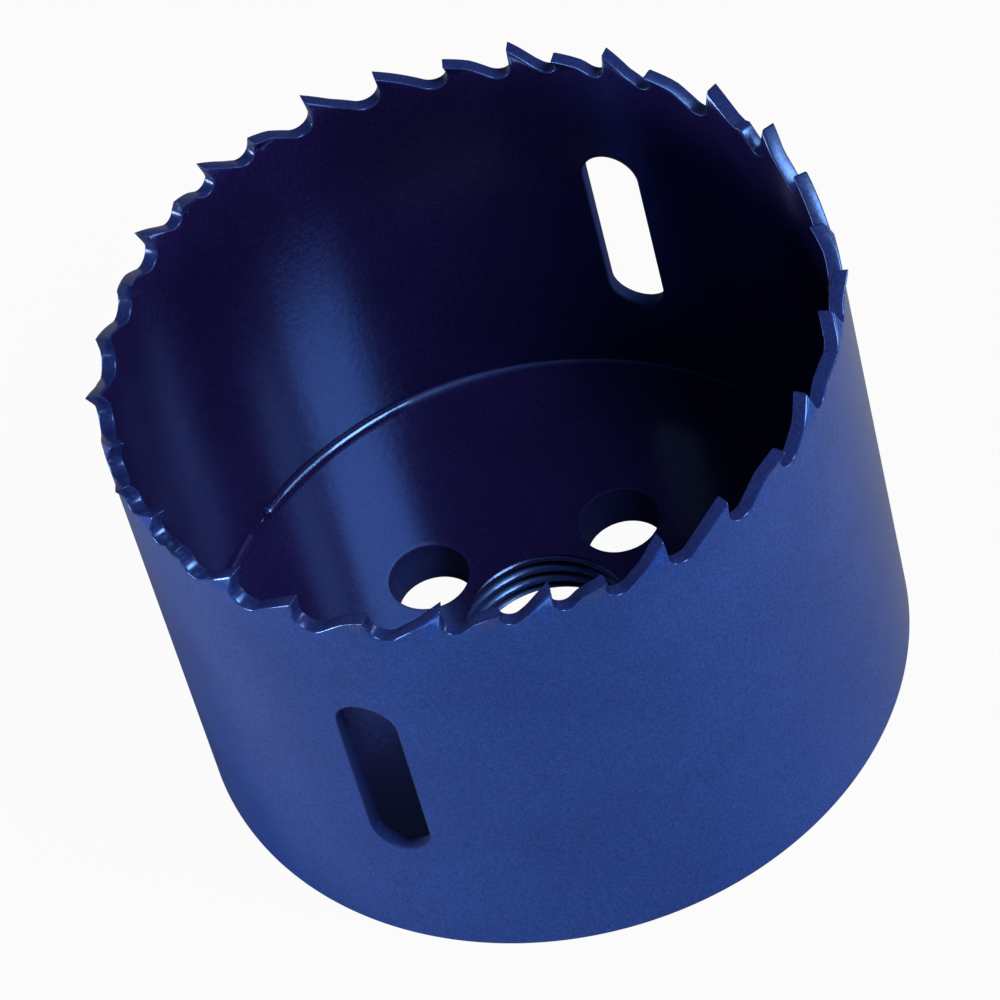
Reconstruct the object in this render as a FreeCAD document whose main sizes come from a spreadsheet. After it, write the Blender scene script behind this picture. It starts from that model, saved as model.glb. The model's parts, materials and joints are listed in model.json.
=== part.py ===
import FreeCAD, Part
import math
import os

import Sketcher

# Hole saw for a screw-on arbor, standing on its end plate with the teeth up.
# The origin is the centre of the outer face of the end plate, +Z points to the teeth and the two
# slots in the wall look along +Y and -Y. Sizes are in millimetres, angles in degrees.

SIZES = [
    ("body_diameter", 62.2, "outside of the rolled wall"),
    ("wall_thickness", 1.27, "strip the wall is rolled from"),
    ("overall_height", 43.9, "plate face to tooth tips"),
    ("rim_chamfer", 0.35, "broken edge round the foot of the wall"),
    ("plate_thickness", 4.5, "end plate"),
    ("plate_gap", 0.03, "clearance between plate and wall"),
    ("weld_leg", 0.7, "leg of the bead inside the corner"),
    ("weld_crown", 0.12, "how far the bead swells past a flat face"),
    ("bore_diameter", 14.5, "crest of the arbor thread, 5/8-18"),
    ("bore_chamfer", 0.7, "lead-in at both mouths of the thread"),
    ("pin_diameter", 7.1, "drive-pin hole"),
    ("pin_circle", 24.6, "circle the drive-pin holes stand on"),
    ("pin_angle", 77.8, "first drive-pin hole, degrees from +X"),
    ("slot_width", 5.1, "clearing slot"),
    ("slot_length", 18.9, "clearing slot, over its round ends"),
    ("slot_middle", 22.3, "height of the middle of the slots"),
    ("slot_angle", 90.0, "direction of the slots, degrees from +X"),
    ("pitch_a", 6.28, "tooth to tooth along the middle of the wall"),
    ("pitch_b", 6.03, "second pitch of the group"),
    ("pitch_c", 5.53, "third pitch of the group"),
    ("pitch_d", 4.22, "fourth pitch of the group"),
    ("pitch_e", 4.26, "fifth pitch of the group"),
    ("pitch_f", 4.65, "sixth pitch of the group"),
    ("pitch_g", 5.93, "seventh pitch of the group"),
    ("first_tooth", 54.2, "tooth after the seam, degrees from +X"),
    ("tooth_set", 0.65, "how far a set tooth leans at its tip"),
    ("set_depth", 1.35, "height of the bent part of a tooth"),
    ("relief_angle", 32.0, "slope of the back of a tooth, degrees"),
    ("hook_angle", 6.5, "forward lean of the cutting face, degrees"),
    ("gullet_ratio", 0.225, "radius of the round floor between two teeth, as a share of their pitch"),
]
SIZE = {name: value for name, value, note in SIZES}

# One group of teeth: the cell that holds the pitch behind the tooth, and the side the tooth leans to.
TOOTH_GROUP = [
    ("pitch_a", "outward"),
    ("pitch_b", "straight"),
    ("pitch_c", "inward"),
    ("pitch_d", "outward"),
    ("pitch_e", "inward"),
    ("pitch_f", "outward"),
    ("pitch_g", "inward"),
]
LEAN = {"outward": 1, "straight": 0, "inward": -1}
PIN_COUNT = 4
# How far a cutting solid runs past what it cuts.
SPARE = 1.0
# How far ahead of its tip the bent share of a tooth starts, which takes in the whole cutting face.
LEAD = 0.35
FULL_TURN = 360
# Share of one drive-pin hole by which the volume cut for all of them may be off.
VOLUME_TOLERANCE = 0.01
UP = FreeCAD.Vector(0, 0, 1)
# Turns of a sketch: standing in the XZ plane, and on the wall beside +X with its normal outward.
STANDING = FreeCAD.Rotation(FreeCAD.Vector(1, 0, 0), 90)
UPRIGHT = FreeCAD.Rotation(FreeCAD.Vector(0, 1, 0), UP, FreeCAD.Vector(1, 0, 0), "XYZ")

doc = FreeCAD.newDocument("hole_saw")
sheet = doc.addObject("Spreadsheet::Sheet", "Sizes")
for row, (name, value, note) in enumerate(SIZES, start=1):
    sheet.set(f"A{row}", note)
    sheet.set(f"B{row}", str(value))
    sheet.setAlias(f"B{row}", name)
doc.recompute()

OUTER = "(Sizes.body_diameter / 2)"
INNER = "(Sizes.body_diameter / 2 - Sizes.wall_thickness)"
MIDDLE = "(Sizes.body_diameter / 2 - Sizes.wall_thickness / 2)"
BEND = "(Sizes.overall_height - Sizes.set_depth)"

outer_radius = SIZE["body_diameter"] / 2
inner_radius = outer_radius - SIZE["wall_thickness"]
middle_radius = outer_radius - SIZE["wall_thickness"] / 2
bend_height = SIZE["overall_height"] - SIZE["set_depth"]


def bind(item, **expressions):
    """Ties properties of an item to expressions; a dot in a property is written as two underscores."""
    for name, expression in expressions.items():
        item.setExpression(name.replace("__", "."), str(expression))
    return item


def primitive(kind, name, **expressions):
    """A cylinder or cone with its sizes bound to the sheet."""
    return bind(doc.addObject("Part::" + kind, name), **expressions)


def boolean(kind, name, base, tool):
    """A cut or a common of two items."""
    item = doc.addObject("Part::" + kind, name)
    item.Base = base
    item.Tool = tool
    return item


def fuse(name, items):
    """One item from many."""
    item = doc.addObject("Part::MultiFuse", name)
    item.Shapes = items
    return item


def turn_about_z(item, rule):
    """Turns an item about Z by an expression. A turn of nothing has no axis to keep, so the item gets
    a first turn of one degree before its angle is bound."""
    item.Placement.Rotation = FreeCAD.Rotation(UP, 1)
    return bind(item, Placement__Rotation__Angle=rule)


def origin_plane(body, role):
    """The origin plane of a body with the given role."""
    return next(item for item in body.Origin.OriginFeatures if item.Role == role)


def dimension(sketch, rule, *constraint):
    """Adds a constraint with a size and binds that size to a rule."""
    number = sketch.addConstraint(Sketcher.Constraint(*constraint))
    sketch.setExpression(f"Constraints[{number}]", rule)


def place(sketch, edge, end, x, y, x_rule, y_rule):
    """Fixes one end of an edge at an x and a y, each bound to a rule. With no rule it lies on the axis."""
    for kind, value, rule, axis in (("DistanceX", x, x_rule, -2), ("DistanceY", y, y_rule, -1)):
        if rule is None:
            sketch.addConstraint(Sketcher.Constraint("PointOnObject", edge, end, axis))
        else:
            dimension(sketch, rule, kind, -1, 1, edge, end, value)


def outline(sketch, points):
    """Draws a closed run of straight edges through points that are (x, y, x rule, y rule)."""
    vectors = [FreeCAD.Vector(x, y, 0) for x, y, x_rule, y_rule in points]
    for start, end in zip(vectors, vectors[1:] + vectors[:1]):
        sketch.addGeometry(Part.LineSegment(start, end), False)
    count = len(points)
    for index in range(count):
        follower = (index + 1) % count
        sketch.addConstraint(Sketcher.Constraint("Coincident", index, 2, follower, 1))
    for index, (x, y, x_rule, y_rule) in enumerate(points):
        place(sketch, index, 1, x, y, x_rule, y_rule)


def section(name, points):
    """A free sketch in the XZ plane, for a shape turned about Z."""
    sketch = doc.addObject("Sketcher::SketchObject", name)
    sketch.Placement = FreeCAD.Placement(FreeCAD.Vector(), STANDING)
    outline(sketch, points)
    return sketch


def turned(name, sketch):
    """A solid of revolution about Z from a free sketch."""
    item = doc.addObject("Part::Revolution", name)
    item.Source = sketch
    item.Axis = UP
    item.Base = FreeCAD.Vector()
    item.Angle = FULL_TURN
    item.Solid = True
    return item


# Wall of the cup up to the line where the teeth begin to lean.
chamfer = SIZE["rim_chamfer"]
wall_section = section("wall_section", [
    (inner_radius, 0, INNER, None),
    (outer_radius - chamfer, 0, f"{OUTER} - Sizes.rim_chamfer", None),
    (outer_radius, chamfer, OUTER, "Sizes.rim_chamfer"),
    (outer_radius, bend_height, OUTER, BEND),
    (inner_radius, bend_height, INNER, BEND),
])
wall_tube = turned("wall_tube", wall_section)


def crown(side):
    """A ring of wall above the bend line, leaning outward, inward or not at all."""
    lean = LEAN[side]
    if lean == 0:
        outside = primitive("Cylinder", f"crown_{side}_outside", Radius=OUTER, Height="Sizes.set_depth")
        inside = primitive("Cylinder", f"crown_{side}_inside", Radius=INNER, Height="Sizes.set_depth")
    else:
        top = f"{lean} * Sizes.tooth_set"
        outside = primitive("Cone", f"crown_{side}_outside", Radius1=OUTER, Radius2=f"{OUTER} + {top}",
                            Height="Sizes.set_depth")
        inside = primitive("Cone", f"crown_{side}_inside", Radius1=INNER, Radius2=f"{INNER} + {top}",
                           Height="Sizes.set_depth")
    for item in (outside, inside):
        bind(item, Placement__Base__z=BEND)
    return boolean("Cut", f"crown_{side}", outside, inside)


# Teeth, clockwise from the seam as seen from above; the last pitch closes the ring at the seam.
shortest_pitch = min(SIZE[cell] for cell, side in TOOTH_GROUP)
left_over = 2 * math.pi * middle_radius
teeth = []
while True:
    cell, side = TOOTH_GROUP[len(teeth) % len(TOOTH_GROUP)]
    if left_over - SIZE[cell] < shortest_pitch:
        break
    teeth.append((cell, side))
    left_over -= SIZE[cell]
last_side = TOOTH_GROUP[len(teeth) % len(TOOTH_GROUP)][1]
regular_cells = [cell for cell, side in teeth]
teeth.append((None, last_side))


def arc_before(index):
    """Expression for the arc along the middle of the wall from the first tooth to a tooth."""
    cells = regular_cells[:index]
    terms = [f"{cells.count(cell)} * Sizes.{cell}" for cell, side in TOOTH_GROUP if cell in cells]
    return "(" + " + ".join(terms or ["0"]) + ")"


def tooth_angle(index):
    """Expression for the angle of a tooth tip about Z, in degrees."""
    return f"Sizes.first_tooth - {arc_before(index)} / {MIDDLE} * 180 / pi"


def pitch_rule(index):
    """Expression for the pitch behind a tooth; the seam takes what the ring has left."""
    cell = teeth[index][0]
    if cell:
        return f"Sizes.{cell}"
    return f"(2 * pi * {MIDDLE} - {arc_before(index)})"


def pitch_value(index):
    """The pitch behind a tooth in millimetres."""
    cell = teeth[index][0]
    return SIZE[cell] if cell else left_over


wedges = {side: [] for side in LEAN}
for index, (cell, side) in enumerate(teeth):
    wedge = primitive("Cylinder", f"tooth_space_{index + 1}", Radius=f"{OUTER} + Sizes.tooth_set + {SPARE}",
                      Height="Sizes.set_depth", Angle=f"{pitch_rule(index)} / {MIDDLE} * 180 / pi",
                      Placement__Base__z=BEND)
    turn_about_z(wedge, f"{tooth_angle(index)} + ({LEAD} - {pitch_rule(index)}) / {MIDDLE} * 180 / pi")
    wedges[side].append(wedge)

crowns = [boolean("Common", f"teeth_{side}", crown(side), fuse(f"spaces_{side}", wedges[side]))
          for side in LEAN]
blank = fuse("wall_blank", [wall_tube] + crowns)


def gullet_profile(name, pitch, rule):
    """Sketch of the space between two teeth, with the next cutting edge on the sketch's vertical axis.
    The back of this tooth slopes down from its tip, a round floor turns up, and the cutting face of
    the next tooth leans forward from the floor to its tip."""
    relief = math.radians(SIZE["relief_angle"])
    hook = math.radians(SIZE["hook_angle"])
    radius = SIZE["gullet_ratio"] * pitch
    tip = SIZE["overall_height"]
    reach = pitch - radius / math.cos(hook) - radius / math.cos(relief) * math.tan(hook)
    centre_x = reach / (1 - math.tan(relief) * math.tan(hook))
    centre_drop = centre_x * math.tan(relief) - radius / math.cos(relief)
    floor = FreeCAD.Vector(pitch - centre_x, tip - centre_drop, 0)
    low = floor + FreeCAD.Vector(math.sin(relief), -math.cos(relief), 0) * radius
    high = floor + FreeCAD.Vector(-math.cos(hook), -math.sin(hook), 0) * radius
    corners = [FreeCAD.Vector(pitch, tip, 0), low, high, FreeCAD.Vector(0, tip, 0),
               FreeCAD.Vector(0, tip + SPARE, 0), FreeCAD.Vector(pitch, tip + SPARE, 0)]
    sketch = doc.addObject("Sketcher::SketchObject", name)
    sketch.addGeometry(Part.LineSegment(corners[0], corners[1]), False)
    circle = Part.Circle(floor, UP, radius)
    start = math.atan2(high.y - floor.y, high.x - floor.x) % (2 * math.pi)
    end = math.atan2(low.y - floor.y, low.x - floor.x) % (2 * math.pi)
    sketch.addGeometry(Part.ArcOfCircle(circle, start, end), False)
    for first, second in zip(corners[2:], corners[3:] + corners[:1]):
        sketch.addGeometry(Part.LineSegment(first, second), False)
    sketch.addConstraint(Sketcher.Constraint("Tangent", 0, 2, 1, 2))
    sketch.addConstraint(Sketcher.Constraint("Tangent", 1, 1, 2, 1))
    for edge in (2, 3, 4):
        sketch.addConstraint(Sketcher.Constraint("Coincident", edge, 2, edge + 1, 1))
    sketch.addConstraint(Sketcher.Constraint("Coincident", 5, 2, 0, 1))
    sketch.addConstraint(Sketcher.Constraint("Horizontal", 4))
    sketch.addConstraint(Sketcher.Constraint("Vertical", 5))
    place(sketch, 0, 1, pitch, tip, rule, "Sizes.overall_height")
    place(sketch, 3, 1, 0, tip, None, "Sizes.overall_height")
    place(sketch, 4, 1, 0, tip + SPARE, None, f"Sizes.overall_height + {SPARE}")
    dimension(sketch, f"{rule} * Sizes.gullet_ratio", "Radius", 1, radius)
    dimension(sketch, "Sizes.relief_angle + 180", "Angle", 0, relief + math.pi)
    dimension(sketch, "90 - Sizes.hook_angle", "Angle", 2, math.pi / 2 - hook)
    return sketch


def through_wall(name, sketch):
    """An upright sketch carried straight out through the wall beside +X."""
    item = doc.addObject("Part::Extrusion", name)
    item.Base = sketch
    item.DirMode = "Normal"
    item.Solid = True
    return bind(item, LengthFwd=f"Sizes.wall_thickness + 4 * Sizes.tooth_set + 2 * {SPARE}")


profiles = {}
gullets = []
for index, (cell, side) in enumerate(teeth):
    if cell not in profiles:
        rule = pitch_rule(index)
        profiles[cell] = gullet_profile(f"gullet_{cell or 'seam'}", pitch_value(index), rule)
        profiles[cell].Placement = FreeCAD.Placement(FreeCAD.Vector(), UPRIGHT)
        bind(profiles[cell], Placement__Base__x=f"{INNER} - 2 * Sizes.tooth_set - {SPARE}")
    gullet = through_wall(f"gullet_{index + 1}", profiles[cell])
    turn_about_z(gullet, f"{tooth_angle(index)} - {pitch_rule(index)} / {MIDDLE} * 180 / pi")
    gullets.append(gullet)

def slot_tool():
    """One obround bar that goes across the cup and opens both slots."""
    half_width = SIZE["slot_width"] / 2
    half_straight = (SIZE["slot_length"] - SIZE["slot_width"]) / 2
    middle = SIZE["slot_middle"]
    sketch = doc.addObject("Sketcher::SketchObject", "slot_profile")
    for way, start in ((1, 0), (-1, math.pi)):
        circle = Part.Circle(FreeCAD.Vector(0, middle + way * half_straight, 0), UP, half_width)
        sketch.addGeometry(Part.ArcOfCircle(circle, start, start + math.pi), False)
    for way in (1, -1):
        low = FreeCAD.Vector(way * half_width, middle - half_straight, 0)
        high = FreeCAD.Vector(way * half_width, middle + half_straight, 0)
        sketch.addGeometry(Part.LineSegment(low, high), False)
    for arc, arc_end, line, line_end in ((0, 1, 2, 2), (1, 2, 2, 1), (0, 2, 3, 2), (1, 1, 3, 1)):
        sketch.addConstraint(Sketcher.Constraint("Tangent", arc, arc_end, line, line_end))
    for arc, way in ((0, 1), (1, -1)):
        rule = f"Sizes.slot_middle + {way} * (Sizes.slot_length - Sizes.slot_width) / 2"
        place(sketch, arc, 3, 0, middle + way * half_straight, None, rule)
    dimension(sketch, "Sizes.slot_width / 2", "Radius", 0, half_width)
    sketch.Placement = FreeCAD.Placement(FreeCAD.Vector(), UPRIGHT)
    bar = doc.addObject("Part::Extrusion", "slot_tool")
    bar.Base = sketch
    bar.DirMode = "Normal"
    bar.Solid = True
    bar.Symmetric = True
    bind(bar, LengthFwd=f"Sizes.body_diameter + 2 * {SPARE}")
    return turn_about_z(bar, "Sizes.slot_angle")


saw_wall = boolean("Cut", "saw_wall", blank, fuse("wall_openings", gullets + [slot_tool()]))


def body_sketch(body, role, name):
    """A sketch on one of a body's own origin planes."""
    sketch = body.newObject("Sketcher::SketchObject", name)
    sketch.AttachmentSupport = [(origin_plane(body, role), "")]
    sketch.MapMode = "FlatFace"
    return sketch


def turned_body(name, points):
    """A body turned about Z from one closed section in the XZ plane."""
    body = doc.addObject("PartDesign::Body", name)
    sketch = body_sketch(body, "XZ_Plane", f"{name}_section")
    outline(sketch, points)
    solid = body.newObject("PartDesign::Revolution", f"{name}_turned")
    solid.Profile = sketch
    solid.ReferenceAxis = (sketch, ["V_Axis"])
    solid.Angle = FULL_TURN
    body.Tip = solid
    return body


# End plate: a turned disc with the arbor hole, then the drive-pin holes round it.
bore_radius = SIZE["bore_diameter"] / 2
mouth = SIZE["bore_chamfer"]
thickness = SIZE["plate_thickness"]
plate_radius = inner_radius - SIZE["plate_gap"]
BORE = "Sizes.bore_diameter / 2"
MOUTH = f"{BORE} + Sizes.bore_chamfer"
PLATE = f"{INNER} - Sizes.plate_gap"
UPPER = "Sizes.plate_thickness - Sizes.bore_chamfer"
end_plate = turned_body("end_plate", [
    (bore_radius + mouth, 0, MOUTH, None),
    (plate_radius, 0, PLATE, None),
    (plate_radius, thickness, PLATE, "Sizes.plate_thickness"),
    (bore_radius + mouth, thickness, MOUTH, "Sizes.plate_thickness"),
    (bore_radius, thickness - mouth, BORE, UPPER),
    (bore_radius, mouth, BORE, "Sizes.bore_chamfer"),
])
doc.recompute()
disc_volume = end_plate.Shape.Volume
pin_sketch = body_sketch(end_plate, "XY_Plane", "pin_hole_outline")
pin_angle = math.radians(SIZE["pin_angle"])
pin_x = SIZE["pin_circle"] / 2 * math.cos(pin_angle)
pin_y = SIZE["pin_circle"] / 2 * math.sin(pin_angle)
pin_outline = Part.Circle(FreeCAD.Vector(pin_x, pin_y, 0), UP, SIZE["pin_diameter"] / 2)
pin_sketch.addGeometry(pin_outline, False)
place(pin_sketch, 0, 3, pin_x, pin_y, "Sizes.pin_circle / 2 * cos(Sizes.pin_angle)",
      "Sizes.pin_circle / 2 * sin(Sizes.pin_angle)")
dimension(pin_sketch, "Sizes.pin_diameter", "Diameter", 0, SIZE["pin_diameter"])
pin_hole = end_plate.newObject("PartDesign::Pocket", "pin_hole")
pin_hole.Profile = pin_sketch
pin_hole.Type = "ThroughAll"
pin_hole.Reversed = True
pin_holes = end_plate.newObject("PartDesign::PolarPattern", "pin_holes")
pin_holes.Originals = [pin_hole]
pin_holes.Axis = (pin_sketch, ["N_Axis"])
pin_holes.Angle = FULL_TURN
pin_holes.Occurrences = PIN_COUNT
end_plate.Tip = pin_holes

# Weld bead: a fillet in the corner between plate and wall, swollen a little past a straight face.
leg = SIZE["weld_leg"]
swell = SIZE["weld_crown"]
side_step = leg / 2 - swell * math.sqrt(0.5)
SIDE_STEP = "(Sizes.weld_leg / 2 - Sizes.weld_crown * sqrt(0.5))"
joint_weld = turned_body("joint_weld", [
    (inner_radius - leg, thickness, f"{INNER} - Sizes.weld_leg", "Sizes.plate_thickness"),
    (inner_radius, thickness, INNER, "Sizes.plate_thickness"),
    (inner_radius, thickness + leg, INNER, "Sizes.plate_thickness + Sizes.weld_leg"),
    (inner_radius - side_step, thickness + leg - side_step, f"{INNER} - {SIDE_STEP}",
     f"Sizes.plate_thickness + Sizes.weld_leg - {SIDE_STEP}"),
])

doc.recompute()
PIECES = [saw_wall, end_plate, joint_weld]
for item in doc.Objects:
    if "Invalid" in item.State or "Error" in item.State:
        raise RuntimeError(f"{item.Name} failed: {item.State}")
hole_volume = math.pi * (SIZE["pin_diameter"] / 2) ** 2 * thickness
cut_volume = disc_volume - end_plate.Shape.Volume
if abs(cut_volume / hole_volume - PIN_COUNT) > VOLUME_TOLERANCE:
    raise RuntimeError(f"the drive-pin holes took {cut_volume:.1f} mm3")
os.makedirs("parts", exist_ok=True)
for item in PIECES:
    shape = item.Shape
    if shape.isNull() or not shape.isValid() or len(shape.Solids) != 1:
        raise RuntimeError(f"{item.Label} is not one sound solid")
    shape.exportStep(f"parts/{item.Label}.step")
    print(f"{item.Label}: {shape.Volume:.1f} mm3, {shape.BoundBox}")
print(f"{len(teeth)} teeth, seam pitch {left_over:.2f} mm")
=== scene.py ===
# %% [markdown]
# # A blue hole saw
# A hole saw is a steel cup with teeth round its rim. A strip of steel is toothed and slotted flat,
# rolled into a ring, welded to a thick end plate and sprayed blue all over. The CAD solids could be
# rendered as they are, but their sharp edges catch no light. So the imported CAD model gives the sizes
# and places, and each visible surface is worked out again as a grid of points with rounded, painted
# edges. Lengths are in millimetres until a mesh is made.

# %% Load the frame
import bpy
import json
import math
import numpy as np
from mathutils import Matrix, Vector


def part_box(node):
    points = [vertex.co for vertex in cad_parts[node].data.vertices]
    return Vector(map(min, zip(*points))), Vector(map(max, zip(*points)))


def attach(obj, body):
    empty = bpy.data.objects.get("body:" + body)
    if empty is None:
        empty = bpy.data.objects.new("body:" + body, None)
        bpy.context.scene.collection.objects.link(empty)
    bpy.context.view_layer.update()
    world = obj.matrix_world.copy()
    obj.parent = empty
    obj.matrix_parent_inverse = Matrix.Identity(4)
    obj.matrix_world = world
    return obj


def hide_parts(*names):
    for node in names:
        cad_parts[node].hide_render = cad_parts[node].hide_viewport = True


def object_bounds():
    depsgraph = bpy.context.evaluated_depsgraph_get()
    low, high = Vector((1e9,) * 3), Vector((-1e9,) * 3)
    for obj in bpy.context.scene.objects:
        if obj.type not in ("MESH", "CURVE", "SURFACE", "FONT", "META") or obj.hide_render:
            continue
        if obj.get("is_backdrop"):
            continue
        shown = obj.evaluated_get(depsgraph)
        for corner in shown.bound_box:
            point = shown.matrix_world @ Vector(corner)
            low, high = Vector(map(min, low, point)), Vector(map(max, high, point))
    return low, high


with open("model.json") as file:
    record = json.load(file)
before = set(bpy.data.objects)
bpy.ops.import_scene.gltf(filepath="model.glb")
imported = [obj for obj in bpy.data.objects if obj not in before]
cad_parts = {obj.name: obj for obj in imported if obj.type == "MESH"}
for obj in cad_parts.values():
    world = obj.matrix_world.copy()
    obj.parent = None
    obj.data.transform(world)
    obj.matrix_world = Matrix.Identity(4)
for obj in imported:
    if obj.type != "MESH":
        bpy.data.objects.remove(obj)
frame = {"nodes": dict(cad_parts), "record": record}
cad_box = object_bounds()
MM = 0.001
mounts = {mount["name"]: mount for mount in frame["record"]["mounts"]}
print("nodes in the frame:", sorted(frame["nodes"]))

# %% [markdown]
# ## Sizes from the frame
# The boxes of the CAD nodes and the stated mounts already hold most sizes, so they are read and not
# typed again. What a box can't tell, such as the pitch of the teeth, is a named value here.

# %% Sizes of the cup
def box_mm(node):
    """Lowest and highest corner of a CAD node in millimetres."""
    return [np.array(corner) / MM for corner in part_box(node)]


rim_height = box_mm("saw_wall")[1][2]
inner_radius = box_mm("joint_weld")[1][0]
plate_radius, _, plate_top = box_mm("end_plate")[1]
thread_radius = mounts["arbor_thread"]["dims"]["r_mm"]
pin_radius = mounts["drive_pins"]["dims"]["hole_r_mm"]
pin_circle = mounts["drive_pins"]["dims"]["pcd_mm"] / 2
pin_count = mounts["drive_pins"]["dims"]["count"]
wall = 1.27
outer_radius = inner_radius + wall
middle_radius = inner_radius + wall / 2
print(f"rim {rim_height:.1f}, outside {2 * outer_radius:.1f}, plate {plate_top:.1f} mm thick")

# %% [markdown]
# ## A mesh from sheets
# The holes and teeth could be cut out of a cylinder with booleans, but those leave long thin faces
# that shade badly along a rounding. So every piece here is a few sheets of points that meet edge to
# edge. A sheet is a grid, and its faces follow from row and column numbers alone. Each point also
# carries two shares that the paint reads later: how much the paint there is that of a cut edge, and
# how much it is that of the inside of the cup, where a darker navy is painted on as shade.

# %% A sheet and its faces
# The inside share carries painted shade: where it is one, the enamel takes a dark navy for the cup's inside.
SHARES = {"edge": 3, "inside": 4}


def sheet(x, y, z, edge=0.0, inside=0.0):
    """Stacks the arrays of a grid into (rows, columns, 5): the place, the edge and the inside share."""
    return np.stack(np.broadcast_arrays(x, y, z, edge, inside), axis=-1).astype(float)


def grid_faces(rows, columns, keep=None):
    """Corner numbers of every face of a grid, row by row. keep is a mask of the faces that stay."""
    number = np.arange(rows * columns).reshape(rows, columns)
    corners = np.stack([number[:-1, :-1], number[:-1, 1:], number[1:, 1:], number[1:, :-1]], axis=-1)
    return corners.reshape(-1, 4) if keep is None else corners[keep]


print("a grid of 3 by 4 points has", len(grid_faces(3, 4)), "faces")

# %% [markdown]
# Sheets become one piece by numbering their points on from sheet to sheet. Points of two sheets that
# lie on each other then become one point, which closes the seams, and points that no face uses go.

# %% Sheets to mesh
MERGE = 1e-4


def join_sheets(name, sheets):
    """Makes one object from (grid, flip, keep) sheets. Points nearer than MERGE become one, found by
    rounding all places to that step and keeping each rounded place once."""
    points, faces, start = [], [], 0
    for grid, flip, keep in sheets:
        corners = grid_faces(*grid.shape[:2], keep) + start
        faces.append(corners[:, ::-1] if flip else corners)
        points.append(grid.reshape(-1, 5))
        start += grid.shape[0] * grid.shape[1]
    points = np.concatenate(points)
    rounded = np.round(points[:, :3] / MERGE).astype(np.int64)
    _, first, place = np.unique(rounded, axis=0, return_index=True, return_inverse=True)
    faces = place.reshape(-1)[np.concatenate(faces)]
    points = points[first]
    used, faces = np.unique(faces, return_inverse=True)
    points = points[used]
    faces = faces.reshape(-1, 4)
    mesh = bpy.data.meshes.new(name)
    mesh.vertices.add(len(points))
    mesh.vertices.foreach_set("co", (points[:, :3] * MM).ravel())
    mesh.loops.add(faces.size)
    mesh.loops.foreach_set("vertex_index", faces.ravel())
    mesh.polygons.add(len(faces))
    mesh.polygons.foreach_set("loop_start", np.arange(0, faces.size, 4))
    mesh.polygons.foreach_set("use_smooth", np.ones(len(faces), dtype=bool))
    mesh.update(calc_edges=True)
    for title, column in SHARES.items():
        share = mesh.attributes.new(title, "FLOAT", "POINT")
        share.data.foreach_set("value", points[:, column].astype(np.float32))
    mesh.validate()
    piece = bpy.data.objects.new(name, mesh)
    bpy.context.scene.collection.objects.link(piece)
    print(f"{name}: {len(points)} points, {len(faces)} faces")
    return piece

# %% [markdown]
# ## The outline of the teeth
# The teeth are milled into the strip while it is flat, in groups whose pitch changes from tooth to
# tooth so that the saw doesn't sing. An Array modifier could repeat one tooth, but not with changing
# pitches, so all teeth are worked out together, as rows of one array. Where the strip's ends were
# welded, the last tooth's back is shallow and ends at a stub, the rest of a tooth that the strip's end
# cut through. The stub has its own back, so the last row gets other numbers.

# %% Places of the teeth on the flat strip
tooth_pitches = [6.28, 6.03, 5.53, 4.22, 4.26, 4.65, 5.93]
tooth_sides = [1, 0, -1, 1, -1, 1, -1]
first_tooth = math.radians(54.2)
hook = math.radians(6.5)
gullet_ratio = 0.225
back_bulge = 0.11
girth = 2 * math.pi * middle_radius

group = len(tooth_pitches)
pitches = np.tile(tooth_pitches, int(girth // min(tooth_pitches)) // group + 1)
starts = np.concatenate([[0], np.cumsum(pitches)])
count = int(np.searchsorted(starts, girth - min(tooth_pitches), side="right"))
starts = starts[:count]
pitches = np.append(pitches[:count - 1], girth - starts[-1])
sides = np.resize(tooth_sides, count)
relief = np.full(count, math.radians(32.0))
stub = np.zeros(count)
relief[-1] = math.radians(44.0)
stub[-1] = 2.75
seam_back = math.radians(23.0)
seam_step = 3.9
print(f"{count} teeth, {pitches[-1]:.2f} mm over the seam")

# %% [markdown]
# Flat, one tooth is three strokes: a back that slopes down from the tip, a round floor, and the
# cutting face of the next tooth, which leans forward over the floor. Each stroke has its points at
# fixed shares of its length, closer together where it starts to bend.

# %% Outline of the teeth
BACK = np.array([0, 0.035, 0.08, 0.14, 0.22, 0.32, 0.44, 0.57, 0.7, 0.82, 0.92])
SEAM_BACK = np.array([0, 0.04, 0.1, 0.22, 0.4, 0.53, 0.62, 0.66, 0.76, 0.84, 0.92])
FLOOR = np.linspace(0, 1, 11)[:-1]
FACE = np.array([0, 0.2, 0.42, 0.62, 0.8, 0.92])


def tooth_outline():
    """Arc along the strip and height of every outline point, one row a tooth, from its tip to just
    before the next. The floor's centre is where a circle of the gullet's radius touches both the
    sloping back and the leaning face; the back is a straight slope with a parabola added."""
    slope, start = relief[:, None], stub[:, None]
    pitch = pitches[:, None] - start
    radius = gullet_ratio * pitch
    reach = pitch - radius / math.cos(hook) - radius / np.cos(slope) * math.tan(hook)
    centre = reach / (1 - np.tan(slope) * math.tan(hook))
    centre_height = rim_height - centre * np.tan(slope) + radius / np.cos(slope)
    share = np.tile(BACK, (count, 1))
    share[-1] = SEAM_BACK
    back_arc = share * (start + centre - radius * np.sin(slope))
    back_height = rim_height - (back_arc - start) * np.tan(slope) + 4 * back_bulge * share * (1 - share)
    own_back = rim_height - back_arc * math.tan(seam_back)
    back_height = np.where((start > 0) & (back_arc < seam_step), own_back, back_height)
    turn = -math.pi / 2 - slope + FLOOR * (math.pi / 2 + slope - hook)
    floor_arc = start + centre + radius * np.cos(turn)
    floor_height = centre_height + radius * np.sin(turn)
    face_foot_arc = start + centre + radius * math.cos(hook)
    face_foot_height = centre_height - radius * math.sin(hook)
    face_arc = face_foot_arc + FACE * (start + pitch - face_foot_arc)
    face_height = face_foot_height + FACE * (rim_height - face_foot_height)
    arc = np.concatenate([back_arc, floor_arc, face_arc], axis=1)
    height = np.concatenate([back_height, floor_height, face_height], axis=1)
    return arc, height


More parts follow.
